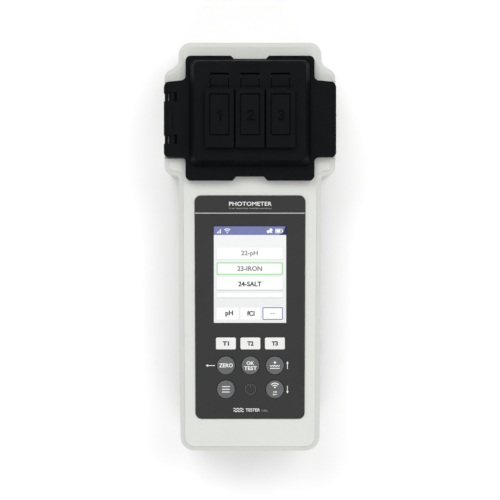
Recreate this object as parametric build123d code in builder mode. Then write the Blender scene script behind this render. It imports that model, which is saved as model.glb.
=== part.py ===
from build123d import *
import os

os.makedirs("parts", exist_ok=True)

# Digital water tester, lying on its back.  Millimetres.
# +Z points out of the display face, +Y towards the head, +X to the right.
# Origin: bottom centre of the bounding box (table plane, middle of length and width).

# ---- driving dimensions -------------------------------------------------
LENGTH = 207.0
GRIP_HALF = 36.2          # half width of the grip below the head
TAIL_HALF = 35.2          # half width at the tail end
HEAD_HALF = 43.33         # half width over the head bulges
HEAD_TOP = (92.49, 88.03)     # y of the upper bulge slope, inner and outer end
HEAD_LOW = (36.95, 35.69)     # y of the lower bulge slope, outer and inner end
TOP_CORNER = 6.0
TAIL_CORNER = 7.3
WALL = 2.4

Z_BACK = 1.0              # rear face of head and tail pad
Z_ARCH = 6.0              # rear face of the finger recess
Z_PART = 20.0             # middle of the parting seal
SEAL_T = 0.6              # visible height of the parting seal
Z_FACE = 38.0             # flat front face
EDGE_STEP = 0.35          # raised flat face above the bevelled rim
RIM = 2.3                 # width of the bevelled rim
RIM_DROP = 1.5            # drop of the bevelled rim
Z_PLATE = 35.4            # underside of the front plate

OVER_TOP, OVER_LOW = 25.8, -87.1      # ends of the front overlay
OVER_HALF_TOP, OVER_HALF_LOW = 28.0, 27.5
OVER_GAP = 0.25           # gap around the overlay
OVER_CORNER = 3.1
OVER_BEVEL = (1.5, 0.45)  # width and depth of the bevel around the overlay
Z_OVER = (37.2, 37.7)     # bottom and top of the overlay

SCREEN = (36.72, 48.96)   # active area of the display
SCREEN_Y = -14.2
KEY_X = (-12.4, 0.0, 12.4)
KEY_SHIFT = 0.2
KEY_ROWS = (-49.0, -60.1, -72.2)
T_KEY = (10.15, 6.06)
ROUND_R = 4.55
POWER_R = 3.1             # the power key is flush and unpainted
KEY_GAP = 0.3
Z_KEY = 38.05             # key cap top
KEY_FLANGE = (34.5, 35.1)     # bottom and top of the retaining flange
Z_STEM = 34.0             # lower end of the key stem

BOARD_Z = (30.4, 32.0)
BOARD_HALF = 25.5
BOARD_Y = (-90.0, 22.0)

SCREW_XY = ((-29.5, 96.5), (29.5, 96.5), (-29.3, 20.0), (29.3, 20.0), (-28.0, -96.0), (28.0, -96.0))
FOOT_XY = ((-33.0, 78.0), (33.0, 78.0), (-16.0, -94.8), (16.0, -94.8))

CHAMBER_X = (-15.15, 0.0, 15.15)
CHAMBER_Y = 63.35
CUVETTE = (13.2, 28.4)
CUV_WALL = 1.2
Z_CUV = (6.0, 38.0, 39.2)     # bottom, rim underside, rim top
LIGHT_Z = 14.0            # height of the optical axis

LID_GAP = 0.3
Z_LID = Z_FACE + LID_GAP  # underside of the light shield
Z_FLANGE = 43.0
Z_DECK = 50.0
Z_BLOCK = 53.0
LID_HALF = 32.44
WING_HALF = 43.5
LIP_IN = 41.8             # inner face of the side lips
Z_LIP = 36.6
HINGE = (-39.0, 41.0)     # x and z of the light shield hinge
LUG_Y = (53.9, 75.2)
LUG_R, LUG_LEN = 1.9, 3.8
LUG_GAP = 0.3
TROUGH_R = 6.7

HATCH = (14.4, 29.5)      # width and length of a numbered block
HATCH_SHIFT = 0.3         # the block sits this far up from the window middle
HATCH_Y = CHAMBER_Y
TAB_W = 8.7
AXLE = (84.6, Z_DECK - 1.0)   # y and z of the hatch hinges
BARREL_R = 1.2
HATCH_PIN_R = 0.5
PANEL_Y = 65.25           # middle of the grip panel on a block
ENGRAVE = 0.9             # depth of the panel groove and the digits
STROKE = 1.0              # width of the digit strokes
DIGIT_SHIFT = (0.35, -0.4)    # the digits sit off the panel middle
WINDOW = (11.6, 25.0)

CELL_R, CELL_L = 9.2, 65.0
CELL_X, CELL_Y, CELL_Z = 9.7, -38.0, 19.6
COVER = (42.2, 76.0)      # battery cover

PORT_Z = 14.0
FLAP = (15.0, 8.2, 1.2)   # width, height, thickness of the port flap
FLAP_AXIS = (-6.9, -102.9)


def body_outline():
    """Closed outline of the housing, seen from the front."""
    half = [
        (GRIP_HALF, LENGTH / 2, TOP_CORNER),
        (GRIP_HALF, HEAD_TOP[0], 3.5),
        (HEAD_HALF, HEAD_TOP[1], 4.8),
        (HEAD_HALF, HEAD_LOW[0], 4.6),
        (GRIP_HALF, HEAD_LOW[1], 1.8),
        (TAIL_HALF, -LENGTH / 2, TAIL_CORNER),
    ]
    ring = half + [(-x, y, r) for x, y, r in reversed(half)]
    with BuildLine() as rim:
        FilletPolyline(*[(x, y) for x, y, r in ring], radius=[r for x, y, r in ring], close=True)
    make_face(rim.edges())


def housing_section(z, inset):
    """Housing outline at height z, moved inwards by inset."""
    with BuildSketch(Plane.XY.offset(z)) as section:
        body_outline()
        if inset:
            offset(amount=-inset, kind=Kind.ARC)
    return section.sketch


def box_between(x, y, z, mode=Mode.ADD):
    """Upright box given by its limits along each axis."""
    with BuildSketch(Plane.XY.offset(z[0])) as base:
        with Locations(((x[0] + x[1]) / 2, (y[0] + y[1]) / 2)):
            Rectangle(x[1] - x[0], y[1] - y[0])
    extrude(base.sketch, amount=z[1] - z[0], mode=mode)


def round_box(centre, size, radius, z, mode=Mode.ADD):
    """Upright block with rounded plan corners."""
    with BuildSketch(Plane.XY.offset(z[0])) as base:
        with Locations(centre):
            RectangleRounded(size[0], size[1], radius)
    extrude(base.sketch, amount=z[1] - z[0], mode=mode)


def discs(points, radius, z, mode=Mode.ADD):
    """Upright cylinders at the given points."""
    with BuildSketch(Plane.XY.offset(z[0])) as base:
        with Locations(*points):
            Circle(radius)
    extrude(base.sketch, amount=z[1] - z[0], mode=mode)


def ring_box(centre, outer, inner, radius, z):
    """Flat rectangular ring with rounded corners."""
    with BuildSketch(Plane.XY.offset(z[0])) as base:
        with Locations(centre):
            RectangleRounded(outer[0], outer[1], radius)
            RectangleRounded(inner[0], inner[1], radius * 0.7, mode=Mode.SUBTRACT)
    extrude(base.sketch, amount=z[1] - z[0])


def rod_y(x, z, radius, y, mode=Mode.ADD):
    """Cylinder running along the length of the tester."""
    with BuildSketch(Plane.XZ.offset(-y[0])) as base:
        with Locations((x, z)):
            Circle(radius)
    extrude(base.sketch, amount=-(y[1] - y[0]), mode=mode)


def rod_x(y, z, radius, x, mode=Mode.ADD):
    """Cylinder running across the tester."""
    with BuildSketch(Plane.YZ.offset(x[0])) as base:
        with Locations((y, z)):
            Circle(radius)
    extrude(base.sketch, amount=x[1] - x[0], mode=mode)


def overlay_face(z, grow):
    """Slightly tapered plate outline of the front overlay."""
    with BuildSketch(Plane.XY.offset(z)) as plate:
        with BuildLine():
            FilletPolyline(
                (-OVER_HALF_TOP - grow, OVER_TOP + grow),
                (OVER_HALF_TOP + grow, OVER_TOP + grow),
                (OVER_HALF_LOW + grow, OVER_LOW - grow),
                (-OVER_HALF_LOW - grow, OVER_LOW - grow),
                radius=OVER_CORNER + grow,
                close=True,
            )
        make_face()
    return plate.sketch


def key_points(row):
    return [(x + KEY_SHIFT, KEY_ROWS[row]) for x in KEY_X]


def key_openings(z, gap):
    """Clearance holes for the nine keys."""
    with BuildSketch(Plane.XY.offset(z[0])) as base:
        with Locations(*key_points(0)):
            RectangleRounded(T_KEY[0] + 2 * gap, T_KEY[1] + 2 * gap, 0.8 + gap)
        with Locations(*(key_points(1) + [key_points(2)[0], key_points(2)[2]])):
            Circle(ROUND_R + gap)
        with Locations(key_points(2)[1]):
            Circle(POWER_R + 0.1)
    extrude(base.sketch, amount=z[1] - z[0], mode=Mode.SUBTRACT)


def save(part, name):
    part.label = name
    export_step(part, f"parts/{name}.step")


# ---- housing ------------------------------------------------------------
rear_top = Z_PART - SEAL_T / 2
front_low = Z_PART + SEAL_T / 2

with BuildPart() as rear_shell:
    extrude(housing_section(Z_BACK, 0), amount=rear_top - Z_BACK)
    fillet(rear_shell.edges().group_by(Axis.Z)[0], radius=4.0)
    # shallow finger recess across the back of the grip
    with BuildSketch(Plane.YZ):
        with BuildLine():
            Polyline((34.0, 0.0), (34.0, Z_BACK), (24.0, Z_ARCH), (-80.0, Z_ARCH), (-90.0, Z_BACK),
                     (-90.0, 0.0), close=True)
        make_face()
    extrude(amount=60.0, both=True, mode=Mode.SUBTRACT)
    # inner space, stepped over the finger recess
    for y, floor in (((34.0, 110.0), Z_BACK + WALL), ((-90.0, 34.0), Z_ARCH + 4.0),
                     ((-110.0, -90.0), Z_BACK + WALL)):
        with BuildSketch(Plane.XY.offset(floor)):
            add(housing_section(0, WALL))
            with Locations((0, (y[0] + y[1]) / 2)):
                Rectangle(120, y[1] - y[0], mode=Mode.INTERSECT)
        extrude(amount=30.0, mode=Mode.SUBTRACT)
    # screw columns and locating ribs
    discs(SCREW_XY[:2] + SCREW_XY[4:], 4.4, (Z_BACK + 1.5, rear_top))
    discs(SCREW_XY[2:4], 4.4, (Z_ARCH + 1.5, rear_top))
    discs(SCREW_XY, 3.1, (0.0, 12.0), Mode.SUBTRACT)
    discs(SCREW_XY, 1.7, (0.0, rear_top + 1), Mode.SUBTRACT)
    for x in (-20.0, 20.0):
        box_between((x - 1.0, x + 1.0), (40.0, 87.0), (Z_BACK + 2.0, 3.9))
    box_between((-9.0, -7.0), (-101.0, -91.0), (Z_BACK + 2.0, 10.6))
    box_between((7.0, 9.0), (-101.0, -91.0), (Z_BACK + 2.0, 10.6))
    # battery hatch
    round_box((0, CELL_Y), (COVER[0] + 0.6, COVER[1] + 0.6), 3.0, (Z_ARCH - 1, 8.6), Mode.SUBTRACT)
    round_box((0, CELL_Y), (38.4, 66.4), 2.0, (Z_ARCH, 12.0), Mode.SUBTRACT)
    discs([(0, CELL_Y - 35.9), (0, CELL_Y + 35.9)], 2.5, (9.0, 13.0))
    discs([(0, CELL_Y - 35.9), (0, CELL_Y + 35.9)], 1.28, (8.0, 14.0), Mode.SUBTRACT)
    # foot recesses
    discs(FOOT_XY, 4.6, (0.0, Z_BACK + 0.5), Mode.SUBTRACT)
    # charging port: thicker wall, flap recess and socket window
    box_between((-12.0, 12.0), (-102.0, -98.6), (8.5, rear_top))
    with BuildSketch(Plane.XZ.offset(LENGTH / 2)):
        with Locations((0, PORT_Z)):
            RectangleRounded(FLAP[0] + 0.8, FLAP[1] + 0.8, 0.5)
    extrude(amount=-1.7, mode=Mode.SUBTRACT)
    with BuildSketch(Plane.XZ.offset(LENGTH / 2)):
        with Locations((0, PORT_Z)):
            SlotOverall(9.1, 3.46)
    extrude(amount=-8.0, mode=Mode.SUBTRACT)
    discs([FLAP_AXIS], 0.47, (PORT_Z - 5.2, PORT_Z + 5.2), Mode.SUBTRACT)
save(rear_shell.part, "rear_shell")

with BuildPart() as front_shell:
    extrude(housing_section(front_low, 0), amount=Z_FACE - EDGE_STEP - front_low)
    rim_face = front_shell.faces().sort_by(Axis.Z)[-1]
    chamfer(rim_face.edges(), length=RIM, length2=RIM_DROP, reference=rim_face)
    extrude(housing_section(Z_FACE - EDGE_STEP, RIM + 0.05), amount=EDGE_STEP)
    extrude(housing_section(front_low, WALL), amount=Z_PLATE - front_low, mode=Mode.SUBTRACT)
    discs(SCREW_XY, 3.6, (front_low, Z_PLATE + 0.5))
    discs(SCREW_XY, 1.55, (front_low - 1, 31.0), Mode.SUBTRACT)
    discs([(-23.4, 18.0), (23.4, 18.0), (-23.4, -86.0), (23.4, -86.0)], 1.8, (BOARD_Z[1], Z_PLATE + 0.5))
    # overlay recess, display window and key openings
    extrude(overlay_face(Z_OVER[0], OVER_GAP), amount=2.0, mode=Mode.SUBTRACT)
    level = front_shell.faces().filter_by_position(Axis.Z, Z_FACE - 0.01, Z_FACE + 0.01)
    face = level.sort_by(SortBy.AREA)[-1]
    bevel = face.inner_wires()[0].edges()
    chamfer(bevel, length=OVER_BEVEL[0], length2=OVER_BEVEL[1], reference=face)
    round_box((0, SCREEN_Y), (SCREEN[0] + 0.7, SCREEN[1] + 0.7), 0.6, (Z_PLATE - 1, Z_FACE), Mode.SUBTRACT)
    key_openings((Z_PLATE - 1, Z_FACE), KEY_GAP)
    # opening over the measuring chamber
    round_box((0, CHAMBER_Y), (49.2, 34.6), 2.2, (Z_PLATE - 1, Z_FACE + 1), Mode.SUBTRACT)
    # hinge trough along the left bulge
    box_between((-HEAD_HALF + 1.0, -30.9), (42.5, 85.6), (32.2, Z_PLATE + 0.2))
    rod_y(HINGE[0], HINGE[1], TROUGH_R, (44.6, 83.4), Mode.SUBTRACT)
    for y in LUG_Y:
        box_between((HINGE[0] + 0.65, HINGE[0] + 4.45), (y - LUG_LEN / 2 - 0.05, y + LUG_LEN / 2 + 0.05),
                    (30.0, 37.0), Mode.SUBTRACT)
    # right bulge: room for the closing lip, finger scoop and magnet pockets
    box_between((LIP_IN - 0.4, 50.0), (44.4, 83.7), (Z_LIP - 0.4, 40.0), Mode.SUBTRACT)
    box_between((41.6, 50.0), (57.0, 71.0), (31.5, 37.0), Mode.SUBTRACT)
    discs([(37.4, 50.5), (37.4, 77.5)], 3.6, (33.4, Z_PLATE + 0.4))
    discs([(37.4, 50.5), (37.4, 77.5)], 2.55, (35.0, 40.0), Mode.SUBTRACT)
save(front_shell.part, "front_shell")

with BuildPart() as housing_seal:
    extrude(housing_section(rear_top, 0.5), amount=SEAL_T)
    extrude(housing_section(rear_top, 2.0), amount=SEAL_T, mode=Mode.SUBTRACT)
save(housing_seal.part, "housing_seal")

with BuildPart() as housing_screws:
    discs(SCREW_XY, 2.8, (9.8, 12.0))
    discs(SCREW_XY, 1.5, (12.0, 29.0))
    with BuildSketch(Plane.XY.offset(9.8)):
        with Locations(*SCREW_XY):
            RegularPolygon(1.3, 6)
    extrude(amount=1.4, mode=Mode.SUBTRACT)
save(housing_screws.part, "housing_screws")

with BuildPart() as rubber_feet:
    discs(FOOT_XY, 4.5, (0.0, Z_BACK + 0.5))
    chamfer(rubber_feet.edges().group_by(Axis.Z)[0], length=0.4)
save(rubber_feet.part, "rubber_feet")

# ---- display and keys ---------------------------------------------------
with BuildPart() as front_overlay:
    extrude(overlay_face(Z_OVER[0], 0), amount=Z_OVER[1] - Z_OVER[0])
    round_box((0, SCREEN_Y), (SCREEN[0] + 0.5, SCREEN[1] + 0.5), 0.4, (37.0, 38.0), Mode.SUBTRACT)
    key_openings((37.0, 38.0), KEY_GAP)
save(front_overlay.part, "front_overlay")

with BuildPart() as display_window:
    round_box((0, SCREEN_Y), (SCREEN[0] + 0.4, SCREEN[1] + 0.4), 0.35, (36.5, Z_OVER[1] - 0.05))
save(display_window.part, "display_window")

with BuildPart() as display_panel:
    box_between((-21.35, 21.35), (-44.2, 12.5), (33.6, 35.3))
    box_between((-18.4, 18.4), (SCREEN_Y - 24.5, SCREEN_Y + 24.5), (35.3, 36.3))
save(display_panel.part, "display_panel")

with BuildPart() as display_frame:
    ring_box((0, -15.85), (44.7, 57.7), (39.5, 52.5), 1.0, (BOARD_Z[1], 33.6))
save(display_frame.part, "display_frame")

with BuildPart() as main_board:
    box_between((-BOARD_HALF, BOARD_HALF), BOARD_Y, BOARD_Z)
    box_between((-24.0, -16.0), (-84.0, -79.5), (BOARD_Z[1], 32.9))
    box_between((15.0, 21.0), (14.5, 19.0), (BOARD_Z[1], 33.0))
save(main_board.part, "main_board")

with BuildPart() as wireless_module:
    box_between((-8.0, 8.0), (-88.5, -79.5), (BOARD_Z[1], 34.2))
save(wireless_module.part, "wireless_module")

with BuildPart() as key_switches:
    for row in range(3):
        with BuildSketch(Plane.XY.offset(BOARD_Z[1])):
            with Locations(*key_points(row)):
                RectangleRounded(5.2, 5.2, 0.4)
        extrude(amount=0.8)
        discs(key_points(row), 1.3, (32.8, 33.1))
save(key_switches.part, "key_switches")


def t_key(index):
    """Rectangular soft key with flange and stem."""
    spot = key_points(0)[index]
    round_box(spot, T_KEY, 0.8, (KEY_FLANGE[1], Z_KEY))
    round_box(spot, (11.6, 7.4), 1.0, KEY_FLANGE)
    discs([spot], 1.6, (Z_STEM, KEY_FLANGE[0]))


def round_key(row, index, radius, top):
    """Round key with flange and stem."""
    spot = key_points(row)[index]
    discs([spot], radius, (KEY_FLANGE[1], top))
    discs([spot], 5.4, KEY_FLANGE)
    discs([spot], 1.6, (Z_STEM, KEY_FLANGE[0]))


for number in range(3):
    with BuildPart() as soft_key:
        t_key(number)
        fillet(soft_key.faces().sort_by(Axis.Z)[-1].edges(), radius=0.25)
    save(soft_key.part, f"key_t{number + 1}")

ROUND_KEYS = (
    ("key_zero", 1, 0, ROUND_R, Z_KEY, 0.25),
    ("key_ok", 1, 1, ROUND_R, Z_KEY, 0.25),
    ("key_light", 1, 2, ROUND_R, Z_KEY, 0.25),
    ("key_menu", 2, 0, ROUND_R, Z_KEY, 0.25),
    ("key_power", 2, 1, POWER_R, Z_OVER[1], 0.08),
    ("key_wireless", 2, 2, ROUND_R, Z_KEY, 0.25),
)
for key_name, row, column, radius, top, edge in ROUND_KEYS:
    with BuildPart() as cap:
        round_key(row, column, radius, top)
        fillet(cap.faces().sort_by(Axis.Z)[-1].edges(), radius=edge)
    save(cap.part, key_name)

# ---- power --------------------------------------------------------------
with BuildPart() as battery_cells:
    for x in (-CELL_X, CELL_X):
        rod_y(x, CELL_Z, CELL_R, (CELL_Y - CELL_L / 2, CELL_Y + CELL_L / 2 - 1.0))
        rod_y(x, CELL_Z, 3.0, (CELL_Y + CELL_L / 2 - 1.2, CELL_Y + CELL_L / 2))
save(battery_cells.part, "battery_cells")

with BuildPart() as battery_holder:
    box_between((-20.4, 20.4), (CELL_Y - 34.6, CELL_Y + 34.6), (21.0, BOARD_Z[0] - 0.05))
    for x in (-CELL_X, CELL_X):
        rod_y(x, CELL_Z, CELL_R + 0.15, (CELL_Y - 32.7, CELL_Y + 32.7), Mode.SUBTRACT)
    for y in (CELL_Y - 34.6, CELL_Y + 32.8):
        box_between((-20.4, 20.4), (y, y + 1.8), (13.5, 21.5))
save(battery_holder.part, "battery_holder")

with BuildPart() as battery_cover:
    round_box((0, CELL_Y), COVER, 2.7, (Z_ARCH, 8.2))
    discs([(0, CELL_Y - 35.9), (0, CELL_Y + 35.9)], 2.3, (5.0, 7.3), Mode.SUBTRACT)
    discs([(0, CELL_Y - 35.9), (0, CELL_Y + 35.9)], 1.4, (5.0, 9.0), Mode.SUBTRACT)
    for step in range(5):
        box_between((-9.0, 9.0), (CELL_Y - 27.2 + 2.6 * step, CELL_Y - 26.0 + 2.6 * step),
                    (Z_ARCH - 1, Z_ARCH + 0.6), Mode.SUBTRACT)
save(battery_cover.part, "battery_cover")

with BuildPart() as battery_cover_seal:
    ring_box((0, CELL_Y), (40.4, 68.4), (38.8, 66.8), 2.4, (8.2, 8.6))
save(battery_cover_seal.part, "battery_cover_seal")

with BuildPart() as battery_cover_screws:
    ends = [(0, CELL_Y - 35.9), (0, CELL_Y + 35.9)]
    discs(ends, 2.1, (6.2, 7.3))
    discs(ends, 1.25, (7.3, 12.5))
    with BuildSketch(Plane.XY.offset(6.2)):
        with Locations(*ends):
            Rectangle(3.2, 0.7)
            Rectangle(0.7, 3.2)
    extrude(amount=0.6, mode=Mode.SUBTRACT)
save(battery_cover_screws.part, "battery_cover_screws")

with BuildPart() as usb_board:
    box_between((-9.5, 9.5), (-98.4, -84.0), (10.6, 12.2))
save(usb_board.part, "usb_board")

with BuildPart() as usb_socket:
    with BuildSketch(Plane.XZ.offset(101.7)):
        with Locations((0, PORT_Z)):
            SlotOverall(8.94, 3.26)
    extrude(amount=-7.35)
    with BuildSketch(Plane.XZ.offset(101.7)):
        with Locations((0, PORT_Z)):
            SlotOverall(8.34, 2.66)
    extrude(amount=-6.2, mode=Mode.SUBTRACT)
    box_between((-3.35, 3.35), (-101.0, -95.2), (PORT_Z - 0.35, PORT_Z + 0.35))
    box_between((-4.0, 4.0), (-98.0, -94.35), (12.2, 13.0))
save(usb_socket.part, "usb_socket")

with BuildPart() as usb_cover:
    flap_z = (PORT_Z - FLAP[1] / 2, PORT_Z + FLAP[1] / 2)
    y_flap = (-LENGTH / 2, -LENGTH / 2 + FLAP[2])
    box_between((FLAP_AXIS[0], FLAP[0] / 2), y_flap, flap_z)
    discs([FLAP_AXIS], FLAP[2] / 2, flap_z)
    discs([FLAP_AXIS], 0.4, (flap_z[0] - 0.9, flap_z[1] + 0.9))
    # pull notch for a fingernail
    box_between((5.6, 6.6), (-LENGTH / 2 - 0.1, -LENGTH / 2 + 0.4), (PORT_Z - 2.0, PORT_Z + 2.0),
                Mode.SUBTRACT)
save(usb_cover.part, "usb_cover")

# ---- optics -------------------------------------------------------------
with BuildPart() as optics_board:
    box_between((-24.0, 24.0), (40.5, 86.8), (3.9, 5.5))
save(optics_board.part, "optics_board")

with BuildPart() as chamber_block:
    round_box((0, CHAMBER_Y), (52.0, 41.0), 1.5, (5.5, 35.3))
    round_box((0, CHAMBER_Y), (48.6, 34.0), 2.0, (35.3, Z_FACE))
    for x in CHAMBER_X:
        round_box((x, CHAMBER_Y), (CUVETTE[0] + 0.2, CUVETTE[1] + 0.2), 1.1, (Z_CUV[0], 39.0), Mode.SUBTRACT)
        rod_y(x, LIGHT_Z, 2.6, (CHAMBER_Y - 21.0, CHAMBER_Y + 21.0), Mode.SUBTRACT)
save(chamber_block.part, "chamber_block")

for number in range(3):
    with BuildPart() as cuvette:
        spot = (CHAMBER_X[number], CHAMBER_Y)
        round_box(spot, CUVETTE, 1.0, (Z_CUV[0], Z_CUV[1] + 0.2))
        round_box(spot, (14.2, 29.6), 1.4, (Z_CUV[1], Z_CUV[2]))
        round_box(spot, (CUVETTE[0] - 2 * CUV_WALL, CUVETTE[1] - 2 * CUV_WALL), 0.8,
                  (Z_CUV[0] + 1.5, Z_CUV[2] + 1), Mode.SUBTRACT)
    save(cuvette.part, f"cuvette_{number + 1}")

with BuildPart() as cuvette_seals:
    for x in CHAMBER_X:
        ring_box((x, CHAMBER_Y), (13.6, 29.0), (11.6, 27.0), 1.2, (Z_CUV[2], Z_CUV[2] + 0.6))
save(cuvette_seals.part, "cuvette_seals")

with BuildPart() as led_board:
    box_between((-23.0, 23.0), (CHAMBER_Y + 20.7, CHAMBER_Y + 22.3), (5.5, 24.0))
save(led_board.part, "led_board")

with BuildPart() as leds:
    for x in CHAMBER_X:
        rod_y(x, LIGHT_Z, 2.5, (CHAMBER_Y + 15.6, CHAMBER_Y + 20.7))
save(leds.part, "leds")

with BuildPart() as photodiode_board:
    box_between((-23.0, 23.0), (CHAMBER_Y - 22.3, CHAMBER_Y - 20.7), (5.5, 24.0))
save(photodiode_board.part, "photodiode_board")

with BuildPart() as photodiodes:
    for x in CHAMBER_X:
        rod_y(x, LIGHT_Z, 2.5, (CHAMBER_Y - 20.7, CHAMBER_Y - 17.2))
        rod_y(x, LIGHT_Z, 1.6, (CHAMBER_Y - 17.3, CHAMBER_Y - 15.6))
save(photodiodes.part, "photodiodes")

with BuildPart() as optics_cable:
    strip_y = CHAMBER_Y - 22.3
    with BuildSketch(Plane.YZ.offset(-8.0)):
        with BuildLine():
            Polyline((14.5, BOARD_Z[1]), (strip_y - 0.3, BOARD_Z[1]), (strip_y - 0.3, 18.0), (strip_y, 18.0),
                     (strip_y, BOARD_Z[1] + 0.3), (14.5, BOARD_Z[1] + 0.3), close=True)
        make_face()
    extrude(amount=16.0)
save(optics_cable.part, "optics_cable")

# ---- light shield hinge and catch --------------------------------------
with BuildPart() as lid_hinge_lugs:
    for y in LUG_Y:
        with BuildSketch(Plane.XZ.offset(-(y - LUG_LEN / 2))):
            with Locations(HINGE):
                Circle(LUG_R)
            with BuildLine():
                Polyline(*[(HINGE[0] + dx, HINGE[1] + dz) for dx, dz in
                           ((0.7, 0.0), (0.7, -9.2), (4.4, -9.2), (4.4, -4.6), (1.9, -3.4), (1.9, 0.0))],
                         close=True)
            make_face()
            with Locations(HINGE):
                Circle(1.02, mode=Mode.SUBTRACT)
        extrude(amount=-LUG_LEN)
        box_between((HINGE[0] - 0.6, HINGE[0] + 6.2), (y - 5.0, y + 5.0), (30.2, 31.9))
save(lid_hinge_lugs.part, "lid_hinge_lugs")

with BuildPart() as lid_hinge_pin:
    rod_y(HINGE[0], HINGE[1], 1.0, (LUG_Y[0] - 5.4, LUG_Y[1] + 5.4))
save(lid_hinge_pin.part, "lid_hinge_pin")

with BuildPart() as catch_magnets:
    discs([(37.4, 50.5), (37.4, 77.5)], 2.5, (35.0, 37.9))
save(catch_magnets.part, "catch_magnets")


# ---- light shield -------------------------------------------------------
def lid_outline():
    """Closed outline of the light shield with its two wings and end notches."""
    half = [
        (8.1, 94.44, 0.5),
        (9.6, 96.0, 0.5),
        (LID_HALF, 96.0, 2.6),
        (LID_HALF, 83.8, 2.3),
        (WING_HALF, 82.7, 3.2),
        (WING_HALF, 45.1, 2.6),
        (LID_HALF, 45.0, 2.3),
        (LID_HALF, 33.3, 2.6),
        (8.8, 33.3, 0.5),
        (7.0, 35.37, 0.5),
    ]
    ring = half + [(-x, y, r) for x, y, r in reversed(half)]
    with BuildLine() as rim:
        FilletPolyline(*[(x, y) for x, y, r in ring], radius=[r for x, y, r in ring], close=True)
    make_face(rim.edges())


with BuildPart() as light_shield_lid:
    with BuildSketch(Plane.XY.offset(Z_LIP)):
        lid_outline()
    extrude(amount=Z_FLANGE - Z_LIP)
    fillet(light_shield_lid.edges().group_by(Axis.Z)[-1], radius=0.8)
    # heavier rounding of the wing edges
    for side in (-1, 1):
        with BuildSketch(Plane.XZ.offset(-40.0)):
            with BuildLine():
                Line((side * 50.0, Z_FLANGE - 3.0), (side * WING_HALF, Z_FLANGE - 3.0))
                ThreePointArc((side * WING_HALF, Z_FLANGE - 3.0),
                              (side * (WING_HALF - 0.95), Z_FLANGE - 0.9),
                              (side * (WING_HALF - 3.3), Z_FLANGE))
                Polyline((side * (WING_HALF - 3.3), Z_FLANGE), (side * (WING_HALF - 3.3), Z_FLANGE + 3.0),
                         (side * 50.0, Z_FLANGE + 3.0), (side * 50.0, Z_FLANGE - 3.0))
            make_face()
        extrude(amount=-48.0, mode=Mode.SUBTRACT)
    # raised deck with sloping flanks
    with BuildSketch(Plane.XY.offset(Z_FLANGE - 0.5)):
        with Locations((0, 67.0)):
            RectangleRounded(61.7, 54.4, 3.4)
    with BuildSketch(Plane.XY.offset(Z_DECK)):
        with Locations((0, 67.5)):
            RectangleRounded(55.4, 49.15, 2.6)
    loft()
    fillet(light_shield_lid.faces().sort_by(Axis.Z)[-1].edges(), radius=1.2)
    # room for the housing face, leaving only the side lips below the flange
    box_between((-LIP_IN, LIP_IN), (30.0, 100.0), (Z_LIP - 1, Z_LID), Mode.SUBTRACT)
    # dark cavity over the cuvettes
    round_box((0, CHAMBER_Y), (50.8, 36.0), 1.6, (Z_LID - 1, 42.5), Mode.SUBTRACT)
    round_box((0, 62.75), (50.8, 28.5), 1.6, (42.0, Z_DECK - 2.5), Mode.SUBTRACT)
    for x in CHAMBER_X:
        round_box((x, HATCH_Y), WINDOW, 1.0, (Z_DECK - 3, Z_DECK + 1), Mode.SUBTRACT)
        box_between((x - TAB_W / 2 - 0.3, x + TAB_W / 2 + 0.3), (78.2, 86.3), (Z_DECK - 2.6, Z_DECK + 1),
                    Mode.SUBTRACT)
        rod_x(AXLE[0], AXLE[1], HATCH_PIN_R + 0.01, (x - 6.3, x + 6.3), Mode.SUBTRACT)
    # seal groove on the underside
    with BuildSketch(Plane.XY.offset(Z_LID)):
        with Locations((0, CHAMBER_Y)):
            RectangleRounded(58.2, 41.8, 3.0)
            RectangleRounded(54.8, 38.4, 2.2, mode=Mode.SUBTRACT)
    extrude(amount=1.0, mode=Mode.SUBTRACT)
    # hinge windows, lip notches and pin bore
    for y in LUG_Y:
        reach = LUG_R + LUG_GAP
        ends = (y - LUG_LEN / 2 - LUG_GAP, y + LUG_LEN / 2 + LUG_GAP)
        box_between((HINGE[0] - reach, HINGE[0] + reach), ends, (30.0, 50.0), Mode.SUBTRACT)
        box_between((-50.0, HINGE[0]), ends, (30.0, HINGE[1] + 0.8), Mode.SUBTRACT)
    rod_y(HINGE[0], HINGE[1], 1.07, (LUG_Y[0] - 5.8, LUG_Y[1] + 5.8), Mode.SUBTRACT)
    box_between((HINGE[0] - 0.2, HINGE[0] + 0.25), (59.2, 67.2), (Z_FLANGE - 0.4, 45.0), Mode.SUBTRACT)
    discs([(HINGE[0], 69.6)], 0.3, (Z_FLANGE - 0.4, 45.0), Mode.SUBTRACT)
    # recesses for the catch plates
    discs([(37.4, 50.5), (37.4, 77.5)], 2.85, (Z_LID - 0.5, Z_LID + 1.0), Mode.SUBTRACT)
save(light_shield_lid.part, "light_shield_lid")

with BuildPart() as lid_seal:
    ring_box((0, CHAMBER_Y), (58.0, 41.6), (55.0, 38.6), 2.9, (Z_FACE + 0.12, Z_LID + 1.0))
save(lid_seal.part, "lid_seal")

with BuildPart() as hatch_hinge_pins:
    for x in CHAMBER_X:
        rod_x(AXLE[0], AXLE[1], HATCH_PIN_R, (x - 6.2, x + 6.2))
save(hatch_hinge_pins.part, "hatch_hinge_pins")

with BuildPart() as catch_plates:
    discs([(37.4, 50.5), (37.4, 77.5)], 2.8, (Z_LID + 0.05, Z_LID + 1.0))
save(catch_plates.part, "catch_plates")


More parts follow.
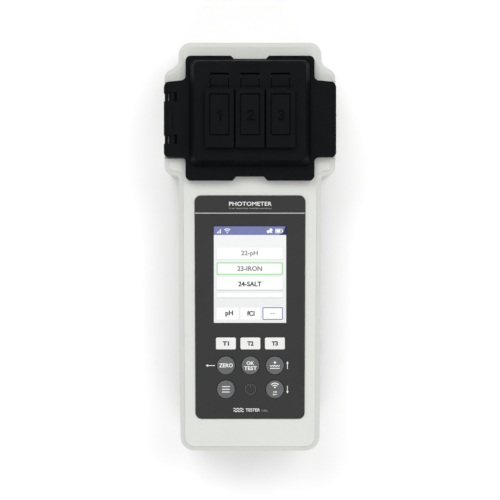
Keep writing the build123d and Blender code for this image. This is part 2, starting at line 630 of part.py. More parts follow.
# ---- numbered hatches ---------------------------------------------------
def digit_path(number):
    """Centre line of an engraved chamber number, about 5 mm tall."""
    low, high, wide = -2.25, 2.25, 1.35
    if number == 1:
        Polyline((-1.1, high - 1.2), (0.25, high), (0.25, low))
    elif number == 2:
        arc = ThreePointArc((-wide, high - 1.0), (0.0, high), (wide, high - 1.1))
        Polyline(arc @ 1, (-wide, low), (wide + 0.1, low))
    else:
        upper = ThreePointArc((-1.0, 1.7), (0.9, 1.7), (-0.05, 0.05))
        ThreePointArc(upper @ 1, (1.1, -1.1), (-1.05, -1.68))


for number in range(3):
    with BuildPart() as hatch:
        x = CHAMBER_X[number]
        round_box((x, HATCH_Y + HATCH_SHIFT), HATCH, 0.5, (Z_DECK + 0.4, Z_BLOCK))
        fillet(hatch.faces().sort_by(Axis.Z)[-1].edges(), radius=0.4)
        round_box((x, HATCH_Y), (WINDOW[0] - 0.8, WINDOW[1] - 0.8), 0.7, (Z_DECK - 1.4, Z_DECK + 0.6))
        # grip panel outlined by a groove, with the chamber number
        with BuildSketch(Plane.XY.offset(Z_BLOCK - ENGRAVE)):
            with Locations((x, PANEL_Y)):
                RectangleRounded(10.1, 20.9, 0.7)
                RectangleRounded(8.7, 19.5, 0.4, mode=Mode.SUBTRACT)
        extrude(amount=1.0, mode=Mode.SUBTRACT)
        with BuildSketch(Plane.XY.offset(Z_BLOCK - ENGRAVE)):
            with BuildLine() as stroke:
                digit_path(number + 1)
            path = stroke.line.moved(Location((x + DIGIT_SHIFT[0], PANEL_Y + DIGIT_SHIFT[1], 0)))
            for edge in path.edges():
                trace(edge, line_width=STROKE)
            with Locations(*path.vertices()):
                Circle(STROKE / 2)
        extrude(amount=1.0, mode=Mode.SUBTRACT)
        # hinge tab with barrel
        with BuildSketch(Plane.YZ.offset(x - TAB_W / 2)):
            with BuildLine():
                Polyline(*[(AXLE[0] + dy, AXLE[1] + dz) for dy, dz in
                           ((-6.0, -0.6), (0.0, -0.9), (0.9, 0.8), (0.0, 1.2), (-4.6, 1.2), (-5.6, 2.6),
                            (-7.0, 2.6), (-7.0, 1.45), (-6.0, 1.35))],
                         close=True)
            make_face()
            with Locations(AXLE):
                Circle(BARREL_R)
        extrude(amount=TAB_W)
        rod_x(AXLE[0], AXLE[1], HATCH_PIN_R + 0.06, (x - TAB_W, x + TAB_W), Mode.SUBTRACT)
    save(hatch.part, f"hatch_{number + 1}")

    with BuildPart() as hatch_seal:
        ring_box((x, HATCH_Y), (13.6, 27.8), (12.2, 26.2), 1.2, (Z_DECK + 0.12, Z_DECK + 0.4))
    save(hatch_seal.part, f"hatch_seal_{number + 1}")
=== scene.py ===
import math
import bpy
import bmesh
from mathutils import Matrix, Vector


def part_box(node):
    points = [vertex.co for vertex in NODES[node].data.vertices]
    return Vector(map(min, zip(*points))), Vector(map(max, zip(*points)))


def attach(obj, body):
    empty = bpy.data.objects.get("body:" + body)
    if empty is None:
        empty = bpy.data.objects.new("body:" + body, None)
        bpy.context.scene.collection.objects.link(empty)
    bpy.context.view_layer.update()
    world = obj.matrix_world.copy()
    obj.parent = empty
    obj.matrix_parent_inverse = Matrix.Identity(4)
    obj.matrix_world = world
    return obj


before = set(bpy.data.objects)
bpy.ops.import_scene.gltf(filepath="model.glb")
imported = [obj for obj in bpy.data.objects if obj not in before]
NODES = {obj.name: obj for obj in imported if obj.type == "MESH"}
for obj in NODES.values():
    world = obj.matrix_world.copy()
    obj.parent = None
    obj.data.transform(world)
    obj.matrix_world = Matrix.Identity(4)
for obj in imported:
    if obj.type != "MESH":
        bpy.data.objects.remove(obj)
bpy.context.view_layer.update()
MM = 0.001


# ---- materials ----------------------------------------------------------
def new_tree(name):
    """Empty node material and its tree."""
    material = bpy.data.materials.new(name)
    material.use_nodes = True
    tree = material.node_tree
    tree.nodes.clear()
    return material, tree


def link(tree, a, b):
    """Wire one socket to another."""
    tree.links.new(a, b)


def add(tree, kind, **values):
    """New node with its settings."""
    node = tree.nodes.new(kind)
    for key, value in values.items():
        setattr(node, key, value)
    return node


def noise(tree, coords, scale, detail=2.0, rough=0.5):
    """Noise value socket."""
    node = add(tree, "ShaderNodeTexNoise")
    node.inputs["Scale"].default_value = scale
    node.inputs["Detail"].default_value = detail
    node.inputs["Roughness"].default_value = rough
    link(tree, coords, node.inputs["Vector"])
    return node.outputs["Fac"]


def remap(tree, value, low, high, out_low=0.0, out_high=1.0):
    """Value moved from one range to another, clamped."""
    node = add(tree, "ShaderNodeMapRange")
    node.inputs["From Min"].default_value = low
    node.inputs["From Max"].default_value = high
    node.inputs["To Min"].default_value = out_low
    node.inputs["To Max"].default_value = out_high
    link(tree, value, node.inputs["Value"])
    return node.outputs["Result"]


def mix(tree, factor, a, b):
    """Blend of two colours; each input is a socket or a constant."""
    node = add(tree, "ShaderNodeMix", data_type="RGBA")
    if hasattr(factor, "is_output"):
        link(tree, factor, node.inputs["Factor"])
    else:
        node.inputs["Factor"].default_value = factor
    for socket, value in ((node.inputs["A"], a), (node.inputs["B"], b)):
        if hasattr(value, "is_output"):
            link(tree, value, socket)
        else:
            socket.default_value = value
    return node.outputs["Result"]


def shade(colour, gain):
    """Colour made lighter or darker."""
    return tuple(min(1.0, c * gain) for c in colour[:3]) + (1.0,)


def surface(name, colour, roughness, *, vary=0.05, patch=40.0, grain=1500.0, bump=0.15, bump_depth=0.03,
            wear=1.25, edge=0.35, rough_vary=0.06, metallic=0.0, coat=0.0, specular=0.5, stretch=None):
    """Moulded, painted or metal surface: mottled colour, fine grain, rubbed edges."""
    material, tree = new_tree(name)
    out = add(tree, "ShaderNodeOutputMaterial")
    shader = add(tree, "ShaderNodeBsdfPrincipled")
    link(tree, shader.outputs["BSDF"], out.inputs["Surface"])
    shader.inputs["Metallic"].default_value = metallic
    shader.inputs["Specular IOR Level"].default_value = specular
    shader.inputs["Coat Weight"].default_value = coat
    shader.inputs["Coat Roughness"].default_value = 0.12
    coords = add(tree, "ShaderNodeTexCoord").outputs["Object"]
    if stretch:
        mapping = add(tree, "ShaderNodeMapping")
        mapping.inputs["Scale"].default_value = stretch
        link(tree, coords, mapping.inputs["Vector"])
        coords = mapping.outputs["Vector"]
    large = noise(tree, coords, patch, 3.0, 0.6)
    fine = noise(tree, coords, grain, 2.0, 0.5)
    speck = noise(tree, coords, grain * 0.22, 3.0, 0.6)
    base = mix(tree, remap(tree, large, 0.3, 0.7), shade(colour, 1.0 - vary), shade(colour, 1.0 + vary))
    base = mix(tree, remap(tree, speck, 0.35, 0.75, 0.0, 0.5), base, shade(colour, 1.0 - vary * 1.6))
    # rubbed edges, found from the rounded normal
    rounded = add(tree, "ShaderNodeBevel", samples=4)
    rounded.inputs["Radius"].default_value = edge * MM
    geometry = add(tree, "ShaderNodeNewGeometry")
    dot = add(tree, "ShaderNodeVectorMath", operation="DOT_PRODUCT")
    link(tree, rounded.outputs["Normal"], dot.inputs[0])
    link(tree, geometry.outputs["Normal"], dot.inputs[1])
    worn = remap(tree, dot.outputs["Value"], 0.995, 0.86, 0.0, 0.8)
    patchy = add(tree, "ShaderNodeMath", operation="MULTIPLY")
    link(tree, worn, patchy.inputs[0])
    link(tree, remap(tree, speck, 0.3, 0.6), patchy.inputs[1])
    base = mix(tree, patchy.outputs["Value"], base, shade(colour, wear))
    link(tree, base, shader.inputs["Base Color"])
    link(tree, remap(tree, speck, 0.25, 0.75, roughness - rough_vary, roughness + rough_vary),
         shader.inputs["Roughness"])
    bumper = add(tree, "ShaderNodeBump")
    bumper.inputs["Strength"].default_value = bump
    bumper.inputs["Distance"].default_value = bump_depth * MM
    link(tree, fine, bumper.inputs["Height"])
    link(tree, rounded.outputs["Normal"], bumper.inputs["Normal"])
    link(tree, bumper.outputs["Normal"], shader.inputs["Normal"])
    return material


def clear(name, colour, alpha, roughness):
    """Clear moulded plastic with faint smudges."""
    material, tree = new_tree(name)
    out = add(tree, "ShaderNodeOutputMaterial")
    shader = add(tree, "ShaderNodeBsdfPrincipled")
    link(tree, shader.outputs["BSDF"], out.inputs["Surface"])
    coords = add(tree, "ShaderNodeTexCoord").outputs["Object"]
    smudge = noise(tree, coords, 90.0, 4.0, 0.6)
    link(tree, mix(tree, remap(tree, smudge, 0.3, 0.7), shade(colour, 0.94), shade(colour, 1.04)),
         shader.inputs["Base Color"])
    link(tree, remap(tree, smudge, 0.3, 0.8, roughness, roughness + 0.07), shader.inputs["Roughness"])
    shader.inputs["Alpha"].default_value = alpha
    shader.inputs["IOR"].default_value = 1.49
    return material


def emitter(name, strength, grain):
    """Start of a lit display material; returns it with its tree, shader and cell noise."""
    material, tree = new_tree(name)
    out = add(tree, "ShaderNodeOutputMaterial")
    shader = add(tree, "ShaderNodeBsdfPrincipled")
    link(tree, shader.outputs["BSDF"], out.inputs["Surface"])
    cells = noise(tree, add(tree, "ShaderNodeTexCoord").outputs["Object"], grain, 1.0)
    shader.inputs["Emission Strength"].default_value = strength
    shader.inputs["Base Color"].default_value = (0.0, 0.0, 0.0, 1.0)
    link(tree, remap(tree, cells, 0.3, 0.7, 0.55, 0.65), shader.inputs["Roughness"])
    shader.inputs["Specular IOR Level"].default_value = 0.0
    return material, tree, shader, cells


def lit(name, colour, strength=1.0, vary=0.02):
    """Lit area of the display, with a faint unevenness of the backlight."""
    material, tree, shader, cells = emitter(name, strength, 400.0)
    tint = mix(tree, remap(tree, cells, 0.3, 0.7), shade(colour, 1.0 - vary), shade(colour, 1.0 + vary))
    link(tree, tint, shader.inputs["Emission Color"])
    return material


def graded(name, top_colour, low_colour, y_top, y_low):
    """Lit background that darkens slightly down the page."""
    material, tree, shader, cells = emitter(name, 1.17, 500.0)
    split = add(tree, "ShaderNodeSeparateXYZ")
    link(tree, add(tree, "ShaderNodeTexCoord").outputs["Object"], split.inputs["Vector"])
    fade = remap(tree, split.outputs["Y"], y_top * MM, y_low * MM)
    tone = mix(tree, fade, top_colour, low_colour)
    tone = mix(tree, remap(tree, cells, 0.3, 0.7, 0.0, 0.03), tone, (0.5, 0.55, 0.65, 1.0))
    link(tree, tone, shader.inputs["Emission Color"])
    return material


SHELL = surface("shell_plastic", (0.655, 0.666, 0.632), 0.62, vary=0.018, patch=28.0, grain=2600.0,
                bump=0.35, bump_depth=0.05, wear=1.06, edge=0.45, rough_vary=0.05, specular=0.35)
COVER = surface("cover_plastic", (0.0044, 0.0051, 0.0060), 0.5, vary=0.14, patch=60.0, grain=2200.0,
                bump=0.4, bump_depth=0.05, wear=1.7, edge=0.3, specular=0.05)
FILM = surface("overlay_film", (0.0362, 0.0362, 0.0362), 0.5, vary=0.05, patch=35.0, grain=3200.0,
               bump=0.25, bump_depth=0.02, wear=1.8, edge=0.15, specular=0.12)
WHITE_KEY = surface("white_key", (0.765, 0.765, 0.752), 0.5, vary=0.02, patch=300.0, grain=3000.0,
                    bump=0.2, bump_depth=0.02, wear=1.04, edge=0.3, specular=0.35)
GREY_KEY = surface("grey_key", (0.112, 0.117, 0.122), 0.52, vary=0.05, patch=250.0, grain=3000.0,
                   bump=0.25, bump_depth=0.02, wear=1.35, edge=0.3, specular=0.35)
DARK_KEY = surface("dark_key", (0.0362, 0.0362, 0.0362), 0.5, vary=0.06, patch=250.0, grain=3000.0,
                   bump=0.25, bump_depth=0.02, wear=1.3, edge=0.15, specular=0.12)
RUBBER = surface("seal_rubber", (0.014, 0.014, 0.015), 0.72, vary=0.12, patch=120.0, grain=1800.0,
                 bump=0.4, bump_depth=0.04, wear=1.8, edge=0.25, specular=0.25)
STEEL = surface("machined_steel", (0.50, 0.50, 0.51), 0.30, vary=0.06, patch=200.0, grain=1500.0,
                bump=0.2, bump_depth=0.01, wear=1.3, edge=0.15, metallic=1.0, stretch=(1.0, 0.06, 1.0))
BLACK_STEEL = surface("coated_steel", (0.022, 0.022, 0.024), 0.36, vary=0.12, patch=200.0, grain=1800.0,
                      bump=0.2, bump_depth=0.02, wear=5.0, edge=0.25, specular=0.6)
BOARD = surface("circuit_board", (0.012, 0.115, 0.045), 0.32, vary=0.12, patch=260.0, grain=900.0,
                bump=0.3, bump_depth=0.04, wear=1.8, edge=0.2, coat=0.4)
MOULDED = surface("moulded_black", (0.022, 0.022, 0.025), 0.5, vary=0.12, patch=120.0, grain=1500.0,
                  bump=0.3, bump_depth=0.03, wear=2.0, edge=0.2)
SLEEVE = surface("cell_sleeve", (0.045, 0.16, 0.36), 0.3, vary=0.08, patch=90.0, grain=700.0,
                 bump=0.2, bump_depth=0.03, wear=1.6, edge=0.3, coat=0.5)
CABLE = surface("cable_film", (0.42, 0.19, 0.035), 0.34, vary=0.08, patch=150.0, grain=900.0,
                bump=0.2, bump_depth=0.02, wear=1.3, edge=0.1, coat=0.5)
MAGNET = surface("magnet_plating", (0.60, 0.60, 0.62), 0.2, vary=0.05, patch=250.0, grain=1200.0,
                 bump=0.1, bump_depth=0.01, wear=1.2, edge=0.2, metallic=1.0)
WINDOW = clear("window_clear", (0.05, 0.05, 0.055), 0.06, 0.03)
CUVETTE = clear("cuvette_clear", (0.72, 0.82, 0.84), 0.30, 0.04)
LED = clear("led_resin", (0.75, 0.78, 0.90), 0.55, 0.08)

FINISH = {
    "rear_shell": SHELL, "front_shell": SHELL, "battery_cover": SHELL, "housing_seal": RUBBER,
    "housing_screws": STEEL, "battery_cover_screws": STEEL, "rubber_feet": RUBBER,
    "front_overlay": FILM, "display_window": WINDOW, "display_panel": MOULDED, "display_frame": MOULDED,
    "main_board": BOARD, "wireless_module": STEEL, "key_switches": MOULDED, "battery_cells": SLEEVE,
    "battery_holder": MOULDED, "battery_cover_seal": RUBBER, "usb_board": BOARD, "usb_socket": STEEL,
    "usb_cover": RUBBER, "optics_board": BOARD, "led_board": BOARD, "photodiode_board": BOARD,
    "leds": LED, "photodiodes": MOULDED, "optics_cable": CABLE, "chamber_block": COVER,
    "cuvette_1": CUVETTE, "cuvette_2": CUVETTE, "cuvette_3": CUVETTE, "cuvette_seals": RUBBER,
    "lid_hinge_lugs": COVER, "lid_hinge_pin": BLACK_STEEL, "catch_magnets": MAGNET,
    "light_shield_lid": COVER, "lid_seal": RUBBER, "hatch_hinge_pins": BLACK_STEEL, "catch_plates": STEEL,
    "hatch_1": COVER, "hatch_2": COVER, "hatch_3": COVER,
    "hatch_seal_1": RUBBER, "hatch_seal_2": RUBBER, "hatch_seal_3": RUBBER,
    "key_t1": WHITE_KEY, "key_t2": WHITE_KEY, "key_t3": WHITE_KEY, "key_zero": GREY_KEY,
    "key_ok": GREY_KEY, "key_light": GREY_KEY, "key_menu": GREY_KEY, "key_wireless": GREY_KEY,
    "key_power": DARK_KEY,
}
for node_name, node_object in NODES.items():
    for slot in node_object.material_slots:
        slot.material = FINISH[node_name]

# ---- printed and lit graphics -------------------------------------------
def ink(name, colour, vary=0.05):
    """Thin matt print."""
    return surface(name, colour, 0.5, vary=vary, patch=500.0, grain=2500.0, bump=0.1, bump_depth=0.01,
                   wear=1.0, edge=0.02)


INK_WHITE = ink("ink_white", (0.80, 0.80, 0.79), vary=0.03)
INK_DARK = ink("ink_dark", (0.020, 0.020, 0.022))
INK_GREY = ink("ink_grey", (0.42, 0.42, 0.42))
INK_DIM = ink("ink_dim", (0.105, 0.105, 0.107))

# millimetres from here on
PRINT_T = 0.03            # thickness of a printed legend
CAP_LIFT = 0.005          # gap between a key cap and its legend
FILM_LIFT = 0.002         # gap between the overlay film and a print
SHEET_T = 0.01            # thickness of a lit layer of the display
GLYPH_T = 0.012           # thickness of the display's text
CAPITAL = 0.73            # height of a capital letter in the font, as a share of its size


def place(name, mesh, material, body):
    """Scene object from a finished mesh, riding on a body."""
    mesh.materials.clear()
    mesh.materials.append(material)
    piece = bpy.data.objects.new(name, mesh)
    bpy.context.scene.collection.objects.link(piece)
    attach(piece, body)


def flat_piece(name, loops, z, thickness, material, body):
    """Thin piece built from closed outlines (mm); each outline is one solid island."""
    mesh = bpy.data.meshes.new(name)
    bm = bmesh.new()
    for loop in loops:
        low = [bm.verts.new((x * MM, y * MM, z * MM)) for x, y in loop]
        face = bm.faces.new(low)
        if face.normal.z < 0:
            face.normal_flip()
        top = bmesh.ops.extrude_face_region(bm, geom=[face])
        moved = [v for v in top["geom"] if isinstance(v, bmesh.types.BMVert)]
        bmesh.ops.translate(bm, verts=moved, vec=(0, 0, thickness * MM))
    bmesh.ops.recalc_face_normals(bm, faces=bm.faces)
    bm.to_mesh(mesh)
    bm.free()
    place(name, mesh, material, body)


def rounded(cx, cy, w, h, r, steps=5):
    """Outline of a rounded rectangle."""
    points = []
    for sx, sy, start in ((1, 1, 0), (-1, 1, 90), (-1, -1, 180), (1, -1, 270)):
        for k in range(steps + 1):
            a = math.radians(start + 90 * k / steps)
            points.append((cx + sx * (w / 2 - r) + r * math.cos(a), cy + sy * (h / 2 - r) + r * math.sin(a)))
    return points


def circle(cx, cy, r, steps):
    """Outline of a round dot."""
    return [(cx + r * math.cos(2 * math.pi * k / steps), cy + r * math.sin(2 * math.pi * k / steps))
            for k in range(steps)]


def arc_band(cx, cy, r, width, start, end, steps=16):
    """Outline of a stroked arc."""
    angles = [math.radians(start + (end - start) * k / steps) for k in range(steps + 1)]
    outer = [(cx + (r + width / 2) * math.cos(a), cy + (r + width / 2) * math.sin(a)) for a in angles]
    inner = [(cx + (r - width / 2) * math.cos(a), cy + (r - width / 2) * math.sin(a)) for a in angles]
    return outer + inner[::-1]


def stroke(points, width):
    """Outline of a thin polyline stroke."""
    left, right = [], []
    for k, (x, y) in enumerate(points):
        ax, ay = points[max(k - 1, 0)]
        bx, by = points[min(k + 1, len(points) - 1)]
        d = math.hypot(bx - ax, by - ay)
        nx, ny = -(by - ay) / d * width / 2, (bx - ax) / d * width / 2
        left.append((x + nx, y + ny))
        right.append((x - nx, y - ny))
    return left + right[::-1]


def frame_loops(cx, cy, w, h, t):
    """Four bars that outline a rectangle."""
    return [
        rounded(cx, cy + h / 2 - t / 2, w, t, t * 0.3, 1),
        rounded(cx, cy - h / 2 + t / 2, w, t, t * 0.3, 1),
        rounded(cx - w / 2 + t / 2, cy, t, h - 2 * t, t * 0.3, 1),
        rounded(cx + w / 2 - t / 2, cy, t, h - 2 * t, t * 0.3, 1),
    ]


def lettering(name, text, spot, height, width, z, material, body, bold=0.0, thickness=PRINT_T):
    """Generic legend as a thin mesh, centred on spot; height is that of a capital."""
    curve = bpy.data.curves.new(name + "_outline", "FONT")
    curve.body = text
    curve.size = height * MM / CAPITAL
    curve.align_x = "CENTER"
    curve.offset = bold * MM
    curve.resolution_u = 3
    curve.extrude = thickness * MM / 2
    holder = bpy.data.objects.new(name + "_outline", curve)
    bpy.context.scene.collection.objects.link(holder)
    bpy.context.view_layer.update()
    mesh = bpy.data.meshes.new_from_object(holder.evaluated_get(bpy.context.evaluated_depsgraph_get()))
    bpy.data.objects.remove(holder)
    mesh.name = name
    xs = [v.co.x for v in mesh.vertices]
    ys = [v.co.y for v in mesh.vertices]
    mx, my = (min(xs) + max(xs)) / 2, (min(ys) + max(ys)) / 2
    stretch = width * MM / (max(xs) - min(xs))
    for v in mesh.vertices:
        v.co.x = (v.co.x - mx) * stretch + spot[0] * MM
        v.co.y = v.co.y - my + spot[1] * MM
        v.co.z = v.co.z + (z + thickness / 2) * MM
    place(name, mesh, material, body)


def cap(key, lift=CAP_LIFT):
    """Middle of a key cap and the height of its legend, from the frame."""
    low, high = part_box(key)
    return (low.x + high.x) / 2 / MM, (low.y + high.y) / 2 / MM, high.z / MM + lift


def ripple(x, y, length, height, waves, width):
    """Outline of a stroked wavy line that starts at x, y."""
    steps = 12 * waves
    return stroke([(x + length * k / steps, y + height * math.sin(2 * math.pi * k / 12))
                   for k in range(steps + 1)], width)


# ---- key legends --------------------------------------------------------
# legend, text, key, rise above the middle of the cap, height, width, weight, ink
WORDS = [(f"legend_t{n}", f"T{n}", f"key_t{n}", 0.0, 2.1, 3.2, 0.14, INK_DARK) for n in (1, 2, 3)]
WORDS += [
    ("legend_zero", "ZERO", "key_zero", 0.0, 2.0, 7.0, 0.07, INK_WHITE),
    ("legend_ok", "OK", "key_ok", 1.15, 1.8, 3.9, 0.07, INK_WHITE),
    ("legend_test", "TEST", "key_ok", -1.4, 1.9, 6.5, 0.07, INK_WHITE),
]
for name, text, key, rise, height, width, weight, colour in WORDS:
    x, y, top = cap(key)
    lettering(name, text, (x, y + rise), height, width, top, colour, key + "_body", bold=weight)

# lamp over a water line
LAMP_WIDTH = 4.9
LAMP_RISE, LAMP_HALF = 1.45, 0.75
x, y, top = cap("key_light")
water = [(x - LAMP_WIDTH / 2 + LAMP_WIDTH * k / 32, y - 0.25 + 0.2 * math.cos(2 * math.pi * k / 8))
         for k in range(33)]
flat_piece("legend_light", [
    [(x, y + LAMP_RISE + LAMP_HALF), (x + 0.72, y + LAMP_RISE),
     (x, y + LAMP_RISE - LAMP_HALF), (x - 0.72, y + LAMP_RISE)],
    stroke(water, 0.42),
    rounded(x, y - LAMP_RISE, LAMP_WIDTH, 0.45, 0.15, 2),
], top, PRINT_T, INK_WHITE, "key_light_body")

# three menu bars
BAR_PITCH = 1.35
x, y, top = cap("key_menu")
flat_piece("legend_menu", [rounded(x, y + row * BAR_PITCH, 3.9, 0.42, 0.15, 2) for row in (1, 0, -1)],
           top, PRINT_T, INK_WHITE, "key_menu_body")

# open ring with a short bar at its gap
x, y, top = cap("key_power", FILM_LIFT)
flat_piece("legend_power", [arc_band(x, y, 2.65, 0.22, 108, 432, 40), rounded(x, y + 1.9, 0.26, 1.9, 0.1, 2)],
           top, PRINT_T, INK_DIM, "key_power_body")

# fan of two arcs over a pair of transfer arrows
FAN_RISE = 0.55
SEND_DROP, RECEIVE_DROP = 1.35, 2.6
x, y, top = cap("key_wireless")
flat_piece("legend_wireless", [
    arc_band(x, y + FAN_RISE, 2.6, 0.46, 44, 136),
    arc_band(x, y + FAN_RISE, 1.55, 0.46, 42, 138),
    circle(x, y + 1.0, 0.42, 16),
    stroke([(x - 1.0, y - SEND_DROP), (x + 0.5, y - SEND_DROP)], 0.34),
    [(x + 1.15, y - SEND_DROP), (x + 0.4, y - SEND_DROP + 0.6), (x + 0.4, y - SEND_DROP - 0.6)],
    stroke([(x + 1.0, y - RECEIVE_DROP), (x - 0.5, y - RECEIVE_DROP)], 0.34),
    [(x - 1.15, y - RECEIVE_DROP), (x - 0.4, y - RECEIVE_DROP - 0.6), (x - 0.4, y - RECEIVE_DROP + 0.6)],
], top, PRINT_T, INK_WHITE, "key_wireless_body")


# ---- prints on the overlay film ------------------------------------------
RULE_Y, RULE_T = 16.95, 0.5
HEADER_SPOT, SUBLINE_SPOT = (0.2, 21.7), (0.2, 19.35)
HEADER_WIDTH = 21.6
FOOTER_SPOT, NOTE_SPOT = (1.4, -82.7), (7.4, -83.0)
WAVE_X, WAVE_PITCH = -8.3, 1.2
# middle, length and direction in degrees of the arrows beside the keys
ARROWS = (
    (-20.1, -60.2, 4.7, 180),
    (18.95, -60.0, 3.9, 90),
    (18.95, -72.4, 3.9, -90),
)
ARROW_HEAD, HEAD_HALF, SHAFT_HALF = 1.2, 0.6, 0.17

film_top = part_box("front_overlay")[1]
film_z = film_top.z / MM + FILM_LIFT
film_half = film_top.x / MM


def arrow(cx, cy, length, angle):
    """Solid arrow outline pointing along angle."""
    a = math.radians(angle)
    tip = length / 2
    neck = tip - ARROW_HEAD
    shape = [(tip, 0), (neck, HEAD_HALF), (neck, SHAFT_HALF), (-tip, SHAFT_HALF),
             (-tip, -SHAFT_HALF), (neck, -SHAFT_HALF), (neck, -HEAD_HALF)]
    return [(cx + px * math.cos(a) - py * math.sin(a), cy + px * math.sin(a) + py * math.cos(a))
            for px, py in shape]


def film_text(name, text, spot, height, width, material, bold=0.0):
    """Legend printed on the overlay film."""
    lettering(name, text, spot, height, width, film_z, material, "housing", bold=bold)


flat_piece("overlay_rule", [rounded(0, RULE_Y, 2 * film_half - 0.4, RULE_T, 0.1, 2)], film_z, PRINT_T,
           INK_GREY, "housing")
flat_piece("overlay_arrows", [arrow(*values) for values in ARROWS], film_z, PRINT_T, INK_WHITE, "housing")
film_text("overlay_header", "PHOTOMETER", HEADER_SPOT, 2.1, HEADER_WIDTH, INK_WHITE, 0.03)
film_text("overlay_subline", "FOR TREATED WATER SAMPLES", SUBLINE_SPOT, 0.6, HEADER_WIDTH, INK_GREY)
film_text("overlay_footer", "TESTER", FOOTER_SPOT, 1.6, 7.2, INK_WHITE, 0.03)
film_text("overlay_footer_small", "3 CELL", NOTE_SPOT, 0.9, 3.2, INK_GREY)
flat_piece("overlay_waves", [ripple(WAVE_X, FOOTER_SPOT[1] + side * WAVE_PITCH / 2, 5.0, 0.3, 3, 0.36)
                             for side in (1, -1)], film_z, PRINT_T, INK_WHITE, "housing")

# ---- display picture ----------------------------------------------------
# The picture is laid out in columns and rows of one unit, counted from its top left corner.
SCREEN_W, SCREEN_H, SCREEN_Y = 36.72, 48.96, -14.2
COLUMNS, ROWS = 72.4, 96.5
UNIT = SCREEN_W / COLUMNS
STATUS_ROWS = 8.6         # height of the status bar
LINE_SPAN = (2.9, 68.9)   # columns taken by a line box
LINE_ROWS = ((21.4, 32.9), (51.0, 63.2), (66.5, 71.0))
SHADOW_SPAN = (2.6, 69.3)
SHADOW_ROWS = ((22.0, 33.5), (51.2, 64.6), (66.8, 72.0))
BOX_ROWS = (81.3, 93.1)   # rows taken by the boxes at the bottom
BOX_SPANS = ((2.9, 24.7), (26.6, 46.6))
LAYER_PITCH = 0.018
FIRST_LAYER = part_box("display_panel")[1].z / MM + 0.004


def sx(column):
    """Column to mm."""
    return -SCREEN_W / 2 + column * UNIT


def sy(row):
    """Row to mm."""
    return SCREEN_Y + SCREEN_H / 2 - row * UNIT


def cell(c0, r0, c1, r1, radius=0.25):
    """Outline of a rounded box between two corners of the layout."""
    middle_x, middle_y = (sx(c0) + sx(c1)) / 2, (sy(r0) + sy(r1)) / 2
    return rounded(middle_x, middle_y, (c1 - c0) * UNIT, (r1 - r0) * UNIT, radius, 3)


def spans(columns, rows):
    """Box outlines for one span of columns and several spans of rows."""
    return [cell(columns[0], top, columns[1], low) for top, low in rows]


def layer(k):
    """Height of the k-th lit layer."""
    return FIRST_LAYER + LAYER_PITCH * k


def lit_piece(name, loops, level, material):
    """Lit sheet of the display picture."""
    flat_piece(name, loops, layer(level), SHEET_T, material, "housing")


def screen_text(name, text, column, row, height, width, material, bold):
    """Text of the display picture."""
    lettering(name, text, (sx(column), sy(row)), height, width, layer(4), material, "housing",
              bold=bold, thickness=GLYPH_T)


L_PAGE = graded("display_page", (0.88, 0.89, 0.89, 1.0), (0.82, 0.83, 0.83, 1.0), sy(10), sy(97))
L_BAR = lit("display_bar", (0.22, 0.25, 0.50))
# darker navy for a painted reflection on the screen's top right corner
L_PAINTED_REFLECTION = lit("display_painted_reflection", (0.035, 0.045, 0.16))
L_WHITE = lit("display_white", (0.98, 0.98, 0.98), 1.16, vary=0.008)
L_SHADE = lit("display_shade", (0.80, 0.81, 0.81))
L_TEXT = lit("display_text", (0.055, 0.055, 0.06))
L_SOFT = lit("display_soft_text", (0.26, 0.26, 0.26))
L_GREEN = lit("display_green", (0.38, 0.83, 0.34))
L_BLUE = lit("display_blue", (0.15, 0.16, 0.46))

# painted reflection: a darker navy patch over the right end of the status bar stands in for a reflection band
# on the screen
PAINTED_REFLECTION_CORNER = ((65.6, STATUS_ROWS), (COLUMNS, STATUS_ROWS), (COLUMNS, 0.2), (71.3, 0.2), (69.6, 5.6), (66.4, 6.2))
lit_piece("display_page", [cell(0, 0, COLUMNS, ROWS, 0.05)], 0, L_PAGE)
lit_piece("display_bar", [cell(0, 0, COLUMNS, STATUS_ROWS, 0.05)], 1, L_BAR)
lit_piece("display_painted_reflection_corner", [[(sx(column), sy(row)) for column, row in PAINTED_REFLECTION_CORNER]], 2, L_PAINTED_REFLECTION)
# status icons: signal bars, wireless fan, cell level, charge
lit_piece("display_icons", [
    arc_band(sx(13.4), sy(6.6), 2.1, 0.42, 45, 135, 8),
    arc_band(sx(13.4), sy(6.6), 1.2, 0.40, 45, 135, 8),
    circle(sx(13.4), sy(6.3), 0.32, 10),
    cell(3.2, 5.6, 4.1, 6.9, 0.05),
    cell(4.7, 4.3, 5.6, 6.9, 0.05),
    cell(6.2, 2.8, 7.1, 6.9, 0.05),
    circle(sx(54.4), sy(5.3), 0.75, 14),
    circle(sx(57.1), sy(3.7), 0.85, 14),
    rounded(sx(57.2), sy(5.9), 1.3, 0.5, 0.2, 2),
    *frame_loops(sx(65.0), sy(4.6), 3.6, 2.2, 0.28),
    rounded(sx(68.8), sy(4.6), 0.35, 1.1, 0.1, 1),
    cell(62.4, 3.3, 66.6, 5.9, 0.1),
], 3, L_WHITE)
lit_piece("display_rows_shade", spans(SHADOW_SPAN, SHADOW_ROWS), 1, L_SHADE)
boxes = [cell(left, BOX_ROWS[0], right, BOX_ROWS[1]) for left, right in BOX_SPANS]
lit_piece("display_rows", spans(LINE_SPAN, LINE_ROWS) + boxes, 2, L_WHITE)
lit_piece("display_select", [cell(2.7, 36.0, 69.1, 48.5, 0.7)], 2, L_GREEN)
lit_piece("display_choice", [cell(48.8, 81.0, 69.0, 93.4, 0.45)], 2, L_BLUE)
lit_piece("display_fills", [cell(3.75, 37.05, 68.05, 47.45, 0.4), cell(49.6, 81.8, 68.2, 92.6, 0.2)],
          3, L_WHITE)

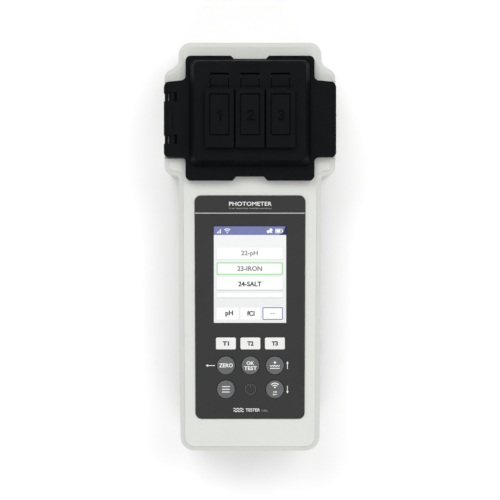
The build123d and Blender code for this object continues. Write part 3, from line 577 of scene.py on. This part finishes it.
screen_text("display_line_1", "22-pH", 35.7, 27.3, 2.35, 8.4, L_SOFT, 0.07)
screen_text("display_line_2", "23-IRON", 35.9, 42.2, 2.4, 12.6, L_SOFT, 0.10)
screen_text("display_line_3", "24-SALT", 36.1, 57.6, 2.4, 11.8, L_TEXT, 0.10)
screen_text("display_box_1", "pH", 15.4, 87.3, 2.4, 3.9, L_TEXT, 0.12)
screen_text("display_box_2", "fCl", 37.0, 87.1, 2.4, 3.8, L_TEXT, 0.12)
screen_text("display_box_3", "--", 58.7, 87.1, 2.6, 2.2, L_SOFT, 0.03)

# ---- floor, light, camera (metres) --------------------------------------
FLOOR_HALF = 1.1
FLOOR_DROP = 0.0001       # keeps the floor just clear of the feet
BACKDROP = 0.93           # brightness behind the floor, as the camera sees it
HORIZON, ZENITH = 0.06, 0.60      # sky light, low and overhead
CAMERA_PLACE = (0.0, -0.0017, 0.6565)
LENS = 88.0
SENSOR = 36.0

floor_mesh = bpy.data.meshes.new("studio_floor")
bm = bmesh.new()
bmesh.ops.create_grid(bm, x_segments=8, y_segments=8, size=FLOOR_HALF)
bm.to_mesh(floor_mesh)
bm.free()
floor = bpy.data.objects.new("studio_floor", floor_mesh)
floor.location.z = -FLOOR_DROP
bpy.context.scene.collection.objects.link(floor)
floor_mesh.materials.append(surface("studio_paper", (0.965, 0.965, 0.965), 0.9, vary=0.004, patch=4.0,
                                    grain=300.0, bump=0.02, wear=1.0, edge=0.1, specular=0.1))

world = bpy.data.worlds.new("studio")
bpy.context.scene.world = world
world.use_nodes = True
sky = world.node_tree
sky_shader = sky.nodes["Background"]
sky_shader.inputs["Color"].default_value = (1.0, 1.0, 1.0, 1.0)
sky_split = add(sky, "ShaderNodeSeparateXYZ")
link(sky, add(sky, "ShaderNodeTexCoord").outputs["Generated"], sky_split.inputs["Vector"])
# dim horizon for the side walls, plain pale backdrop for the camera
backdrop = add(sky, "ShaderNodeMix", data_type="FLOAT")
backdrop.inputs["B"].default_value = BACKDROP
link(sky, add(sky, "ShaderNodeLightPath").outputs["Is Camera Ray"], backdrop.inputs["Factor"])
link(sky, remap(sky, sky_split.outputs["Z"], 0.05, 0.75, HORIZON, ZENITH), backdrop.inputs["A"])
link(sky, backdrop.outputs["Result"], sky_shader.inputs["Strength"])


def softbox(name, place_at, aim, size, power):
    """Rectangular studio light aimed at a point; power in watts."""
    light = bpy.data.lights.new(name, "AREA")
    light.shape = "RECTANGLE"
    light.size, light.size_y = size
    light.energy = power
    lamp = bpy.data.objects.new(name, light)
    lamp.location = place_at
    lamp.rotation_euler = (Vector(aim) - Vector(place_at)).to_track_quat("-Z", "Y").to_euler()
    bpy.context.scene.collection.objects.link(lamp)


softbox("key_softbox", (-0.55, 0.80, 1.10), (0, 0.02, 0.03), (1.0, 0.9), 8.1)
softbox("side_softbox", (0.75, 0.55, 1.20), (0, 0.0, 0.03), (1.0, 0.9), 6.6)
softbox("front_softbox", (0.10, -1.05, 0.95), (0, 0.0, 0.03), (1.2, 0.8), 6.8)

camera_data = bpy.data.cameras.new("camera")
camera_data.sensor_width = SENSOR
camera_data.lens = LENS
camera_data.clip_start = 0.01
camera = bpy.data.objects.new("camera", camera_data)
camera.location = CAMERA_PLACE
camera.rotation_euler = (0.0, 0.0, 0.0)
bpy.context.scene.collection.objects.link(camera)
bpy.context.scene.camera = camera
bpy.context.scene.view_settings.view_transform = "Standard"
